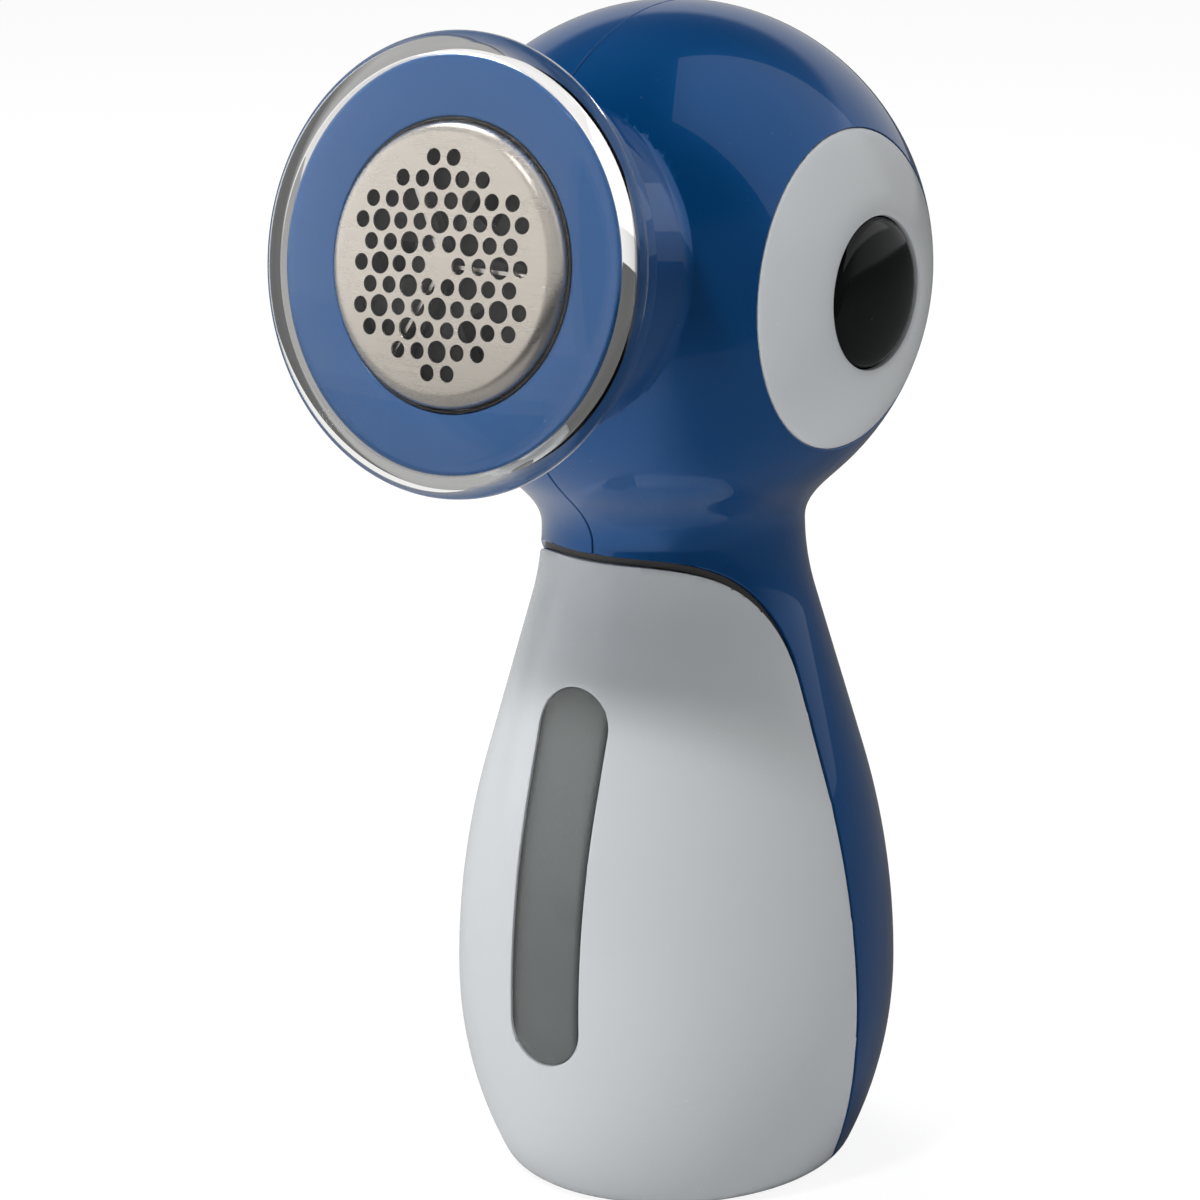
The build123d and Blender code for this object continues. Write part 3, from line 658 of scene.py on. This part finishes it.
def ring_outline():
    path = [(10.06, 1.3), (10.06, 0.75), (10.15, 0.5), (10.4, 0.3), (10.9, 0.16), (11.8, 0.05), (13.0, 0.0)]
    path += [(13.0 + step * 0.5, 0.0) for step in range(1, 15)]
    path += [(20.6, 0.02), (20.85, 0.08), (21.0, 0.25), (21.0, 1.3), (10.06, 1.3)]
    return path


def button_outline(radius):
    path = [(0, 0.35), (2, 0.35), (4, 0.35), (6, 0.38), (7.5, 0.42), (8.6, 0.5), (9.2, 0.62)]
    path += [(radius - 0.25, 0.85), (radius - 0.05, 1.1), (radius, 1.5), (radius, 4.0), (0, 4.0)]
    return path


piece("white_ring_right", on_ball(ring_outline()), WHITE, "handle", "white_plastic", "ring_right")
piece("white_ring_left", mirrored(on_ball(ring_outline())), WHITE, "handle", "white_plastic", "ring_left")
piece("button_dome", on_ball(button_outline(9.86)), BLACK, "button", "black_gloss", "power_button")
piece("blank_disc", mirrored(on_ball(button_outline(9.96))), BLACK, "handle", "black_gloss", "blank_cap")

# %% [markdown]
# ## Battery door
# The door is another cut from the skin, with four grooves for the thumb.

# %% Door
def groove(row):
    place = Matrix.Translation((0, (26.9 + 0.6 * row) * MM, (63.75 - 2.2 * row) * MM))
    return bar(0.7, -7, 7, place @ Matrix.Rotation(math.pi / 2, 4, "Y"), 24)


door = carved(
    skin(0, WALL),
    ("INTERSECT", prism(panel_shape(*DOOR_PANEL), "y", 8, 60)),
    *[("DIFFERENCE", groove(row)) for row in range(4)],
)
piece("door_panel", softened(door, 0.2), BLUE, "battery_cover", "blue_case", "battery_door")

# %% [markdown]
# ## Shaving head
# From the front: the clear cap, the foil with its field of large and small holes, the dark gasket, and
# the blue ring that clamps them. All are turned about the cutter's axis.

# %% Foil ring and gasket
RING_FACE = 48.4
ring = turned(rounded([
    (18.5, 46.9), (18.5, RING_FACE, 0.3), (26.5, RING_FACE, 0.8), (26.5, 41.5, 0.3),
    (24.9, 41.5), (24.9, 46.9),
    (24.3, 46.9), (24.3, 41.5), (22.1, 41.5), (22.1, 46.9),
]), 160, place=HEAD)
piece("blue_ring", ring, BLUE, "foil_head", "blue_case", "foil_ring")
seal = turned(rounded([
    (18.1, 47.0), (18.1, RING_FACE, 0.12), (18.46, RING_FACE, 0.12), (18.46, 47.0),
]), 128, place=HEAD)
piece("dark_gasket", seal, MATT, "foil_head", "black_plastic", "foil_gasket")

# %% Foil
FOIL_R, FOIL_TOP, FOIL_RISE, BEND, SHEET = 18.0, 50.3, 0.6, 2.0, 0.3
HOLE_PITCH, LARGE_HOLE_R, SMALL_HOLE_R = 3.1, 1.41, 1.075


def foil_side(depth, steps=8):
    r = FOIL_R - depth
    bend = BEND - depth
    top = FOIL_TOP - depth
    flat = r - bend
    path = [(flat * k / 24, top + FOIL_RISE * (1 - (k / 24) ** 2)) for k in range(24)]
    for step in range(steps + 1):
        angle = math.pi / 2 * (1 - step / steps)
        path.append((flat + bend * math.cos(angle), top - bend + bend * math.sin(angle)))
    path.append((r, 46.8 - depth))
    return path + [(19.7, 46.8 - depth)]


def hole_places():
    for row in range(-5, 6):
        shift = 0.5 * (row % 2)
        for step in range(-6, 7):
            x = (step + shift) * HOLE_PITCH
            y = row * HOLE_PITCH * math.sqrt(3) / 2
            if 0.1 < math.hypot(x, y) / HOLE_PITCH <= 4.4:
                yield x, y, round(step - 2 * shift) % 3 == 0


punch = bmesh.new()
for x, y, large in hole_places():
    hole = (LARGE_HOLE_R if large else SMALL_HOLE_R) * MM
    bmesh.ops.create_cone(
        punch, cap_ends=True, segments=32, radius1=hole, radius2=hole, depth=6 * MM,
        matrix=Matrix.Translation((x * MM, y * MM, FOIL_TOP * MM)),
    )
spin = Matrix.Rotation(math.radians(3.7), 4, "Z")
bmesh.ops.transform(punch, matrix=HEAD @ spin, verts=punch.verts)
cup = turned(foil_side(0) + foil_side(SHEET)[::-1], 144, closed=False, place=HEAD)
cup = carved(cup, ("DIFFERENCE", punch))
piece("foil_cup", cup, FOIL, "foil_head", "foil_steel", "foil")


# %% Clear cap
def dome(radius, edge, rise, steps=20):
    ball = (radius ** 2 + rise ** 2) / (2 * rise)
    path = []
    for step in range(steps):
        r = radius * step / steps
        path.append((r, edge + rise - ball + math.sqrt(ball ** 2 - r ** 2)))
    return path


CAP_R, CAP_BACK, CAP_EDGE, CAP_DOME = 29.3, 46.2, 50.7, 2.5
GRIP_R, CAP_SHEET = 26.6, 1.2
outside = dome(CAP_R - 2.5, CAP_EDGE, CAP_DOME)
outside += rounded([
    (CAP_R - 2.49, CAP_EDGE), (CAP_R, CAP_EDGE, 2.48), (CAP_R, CAP_BACK, 1.9), (GRIP_R + 0.6, CAP_BACK),
], 12)
inside = rounded([
    (GRIP_R + 0.4, CAP_BACK), (GRIP_R, CAP_BACK + 0.2),
    (GRIP_R, CAP_EDGE - CAP_SHEET, 0.6), (GRIP_R - 1.0, CAP_EDGE - CAP_SHEET),
], 8)
inside += dome(GRIP_R - 1.1, CAP_EDGE - CAP_SHEET, CAP_DOME)[::-1]
dish = turned(outside + inside, 192, closed=False, place=HEAD)
piece("clear_cap", dish, CLEAR, "cap", "cap_clear", "protective_cap", angle=50)

# %% [markdown]
# ## The pieces that stay as they are
# Springs, screws, blades, the motor and the other inner pieces already have their shape in the frame. They
# only need a finish.

# %% Finishes for the frame's own pieces
KEPT = {
    GREY: ("bulkhead", "cutter_chamber", "lint_duct", "motor_mount"),
    MATT: ("switch_body", "battery_tray", "blade_carrier", "motor_end_cap"),
    WHITE: ("switch_plunger", "drive_hub"),
    BOARD: ("switch_board",),
    JACKET: ("battery_cells",),
    NICKEL: ("contact_plates", "motor_can"),
    WIRE: ("button_spring", "contact_springs", "carrier_spring", "case_screws", "motor_screws"),
    STEEL: ("cutter_blades", "motor_shaft", "motor_armature"),
    BRASS: ("motor_terminals",),
}
for finish, names in KEPT.items():
    for name in names:
        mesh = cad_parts[name].data
        mesh.materials.clear()
        mesh.materials.append(finish)
print("finished", sum(len(names) for names in KEPT.values()), "pieces of the frame")

# %% [markdown]
# ## Studio
# The shaver stands on a pale table. A small lamp high on the left throws the head's shadow on the
# container, a white card on the left is what the foil and the clear cap show, and a large soft box over
# the right shoulder is the broad reflection on the head. The side of the front view is left dark, so that
# the gloss has something dark to show as well. A lamp above and behind brings out the blue of the crown. It
# and the small lamp are hidden from glossy rays, or each would leave a hard white spot.

# %% Camera
AZIMUTH, ELEVATION, ROLL = math.radians(36.07), math.radians(15.6), math.radians(-0.71)
back = Vector((
    math.sin(AZIMUTH) * math.cos(ELEVATION), -math.cos(AZIMUTH) * math.cos(ELEVATION), math.sin(ELEVATION)))
level = Vector((math.cos(AZIMUTH), math.sin(AZIMUTH), 0))
upright = back.cross(level)
right_axis = math.cos(ROLL) * level + math.sin(ROLL) * upright
up_axis = -math.sin(ROLL) * level + math.cos(ROLL) * upright
aim = Vector((0, 0, 87.4))
eye = aim - 10.02 * right_axis - 7.79 * up_axis + 612.0 * back
camera = bpy.data.objects.new("camera", bpy.data.cameras.new("camera"))
bpy.context.scene.collection.objects.link(camera)
camera.data.sensor_width = 36.0
camera.data.lens = 135.0
camera.data.clip_start = 0.01
turn = Matrix((right_axis, up_axis, back)).transposed().to_4x4()
camera.matrix_world = Matrix.Translation(eye * MM) @ turn
bpy.context.scene.camera = camera
print("the camera stands", round((eye * MM).length, 2), "m from the origin")


# %% Soft boxes and cards
def in_view(right, up, near):
    """A direction given as seen from the front view: to the right, up and towards the viewer."""
    return (right * level + up * upright + near * back).normalized()


def soft_box(name, centre, normal, side, distance, width, height, radiance):
    """A rectangular lamp; side is the direction of its width."""
    lamp = bpy.data.lights.new(name, "AREA")
    lamp.shape = "RECTANGLE"
    lamp.size = width
    lamp.size_y = height
    lamp.energy = radiance * math.pi * width * height
    obj = bpy.data.objects.new(name, lamp)
    bpy.context.scene.collection.objects.link(obj)
    z = in_view(*normal)
    x = (in_view(*side) - z * in_view(*side).dot(z)).normalized()
    turn = Matrix((x, z.cross(x), z)).transposed().to_4x4()
    obj.matrix_world = Matrix.Translation(Vector((0, 0, 0.09)) + in_view(*centre) * distance) @ turn
    obj.visible_camera = False
    return obj


key = soft_box("key_lamp", (-0.38, 0.60, 0.70), (-0.38, 0.60, 0.70), (1, 0, 0), 0.9, 0.10, 0.10, 140.0)
key.visible_glossy = False
soft_box("left_card", (-0.99, 0.05, 0.12), (-0.99, 0.0, 0.12), (0, 0, 1), 0.8, 1.0, 1.0, 0.54)
top = soft_box("top_lamp", (-0.25, 0.93, -0.26), (-0.25, 0.93, -0.26), (1, 0, 0), 1.0, 0.5, 0.5, 8.5)
top.visible_glossy = False
soft_box(
    "head_box", (0.461, 0.861, 0.216), (0.909, 0.407, 0.088), (0.417, -0.891, -0.179), 1.013, 1.55, 1.0, 0.42)

# %% [markdown]
# ## Table and surround
# The table and the surround look white to the camera without lighting the shaver any harder, because Light
# Path tells those rays apart. What the gloss mirrors is a separate choice: a table that goes dark in front,
# and a bright backdrop that stays low behind. The clear cap shows the foil and the case in front of it, but
# seen from behind and pulled off it is dark grey and not see-through.

# %% Table
TABLE_R = 3.0
DARK_FROM, DARK_TO = 0.23, 0.27
floor_bm = bmesh.new()
bmesh.ops.create_circle(floor_bm, cap_ends=True, segments=96, radius=TABLE_R)
floor = as_object(floor_bm, "floor")
floor_material, floor_tree, floor_shader = new_material("pale_table")
floor_shader.inputs["Base Color"].default_value = (0.94, 0.94, 0.94, 1)
floor_shader.inputs["Roughness"].default_value = 0.8
rays = node(floor_tree, "ShaderNodeLightPath").outputs
shown = node(floor_tree, "ShaderNodeMath", {
    0: rays["Is Camera Ray"], 1: rays["Is Transmission Ray"]}, operation="MAXIMUM")
share = node(floor_tree, "ShaderNodeMath", {0: shown.outputs[0], 1: 0.85}, operation="MULTIPLY")
glow = node(floor_tree, "ShaderNodeEmission", {"Color": (1, 1, 1, 1), "Strength": 1.06})
place = node(floor_tree, "ShaderNodeTexCoord").outputs["Object"]
ahead = Vector((back.x, back.y, 0)).normalized()
reach = node(floor_tree, "ShaderNodeVectorMath", {0: place, 1: tuple(ahead)}, operation="DOT_PRODUCT")
edge = node(floor_tree, "ShaderNodeMapRange", {
    "Value": reach.outputs["Value"], "From Min": DARK_FROM, "From Max": DARK_TO,
    "To Min": 0.0, "To Max": 1.0})
aside = node(floor_tree, "ShaderNodeVectorMath", {0: place, 1: tuple(level)}, operation="DOT_PRODUCT")
least = node(floor_tree, "ShaderNodeMapRange", {
    "Value": aside.outputs["Value"], "From Min": -0.01, "From Max": 0.03, "To Min": 0.58, "To Max": 0.9})
least = node(floor_tree, "ShaderNodeMath", {0: edge.outputs[0], 1: least.outputs[0]}, operation="MAXIMUM")
past = node(floor_tree, "ShaderNodeMath", {
    0: least.outputs[0], 1: rays["Is Glossy Ray"]}, operation="MULTIPLY")
dark = node(floor_tree, "ShaderNodeEmission", {"Color": (1, 1, 1, 1), "Strength": 0.04})
blend = node(floor_tree, "ShaderNodeMixShader", {
    0: share.outputs[0], 1: floor_shader.outputs[0], 2: glow.outputs[0]})
blend = node(floor_tree, "ShaderNodeMixShader", {0: past.outputs[0], 1: blend.outputs[0], 2: dark.outputs[0]})
floor_tree.links.new(blend.outputs[0], floor_tree.nodes["Material Output"].inputs["Surface"])
floor.data.materials.append(floor_material)
print("the table is", 2 * TABLE_R, "m across")

# %% Surround
world = bpy.data.worlds.new("surround")
bpy.context.scene.world = world
world.use_nodes = True
sky = world.node_tree
sky.nodes.clear()
look = node(sky, "ShaderNodeTexCoord").outputs["Generated"]
front = node(sky, "ShaderNodeVectorMath", {0: look, 1: tuple(back)}, operation="DOT_PRODUCT")
dim = node(sky, "ShaderNodeMapRange", {
    "Value": front.outputs["Value"], "From Min": -0.75, "From Max": 0.25, "To Min": 0.45, "To Max": 0.13})
rays = node(sky, "ShaderNodeLightPath").outputs
height = node(sky, "ShaderNodeSeparateXYZ", {"Vector": look}).outputs["Z"]
backdrop = node(sky, "ShaderNodeMapRange", {
    "Value": height, "From Min": 0.44, "From Max": 0.52, "To Min": 1.0, "To Max": 0.06})
viewer = node(sky, "ShaderNodeMapRange", {
    "Value": front.outputs["Value"], "From Min": 0.0, "From Max": 0.3, "To Min": 1.0, "To Max": 0.4})
backdrop = node(sky, "ShaderNodeMath", {0: backdrop.outputs[0], 1: viewer.outputs[0]}, operation="MULTIPLY")
below = node(sky, "ShaderNodeMath", {0: dim.outputs[0], 1: backdrop.outputs[0]}, operation="MULTIPLY")
dim = node(sky, "ShaderNodeMix", {
    "Factor": rays["Is Glossy Ray"], "A": dim.outputs[0], "B": below.outputs[0]}, data_type="FLOAT")
glass = node(sky, "ShaderNodeMapRange", {
    "Value": front.outputs["Value"], "From Min": -0.3, "From Max": 0.3, "To Min": 1.0, "To Max": 0.6})
strength = node(sky, "ShaderNodeMix", {
    "Factor": rays["Is Transmission Ray"], "A": dim.outputs["Result"], "B": glass.outputs[0],
}, data_type="FLOAT")
strength = node(sky, "ShaderNodeMix", {
    "Factor": rays["Is Camera Ray"], "A": strength.outputs["Result"], "B": 1.0}, data_type="FLOAT")
light = node(sky, "ShaderNodeBackground", {"Color": (1, 1, 1, 1), "Strength": strength.outputs["Result"]})
node(sky, "ShaderNodeOutputWorld", {"Surface": light.outputs[0]})
bpy.context.scene.view_settings.view_transform = "Standard"
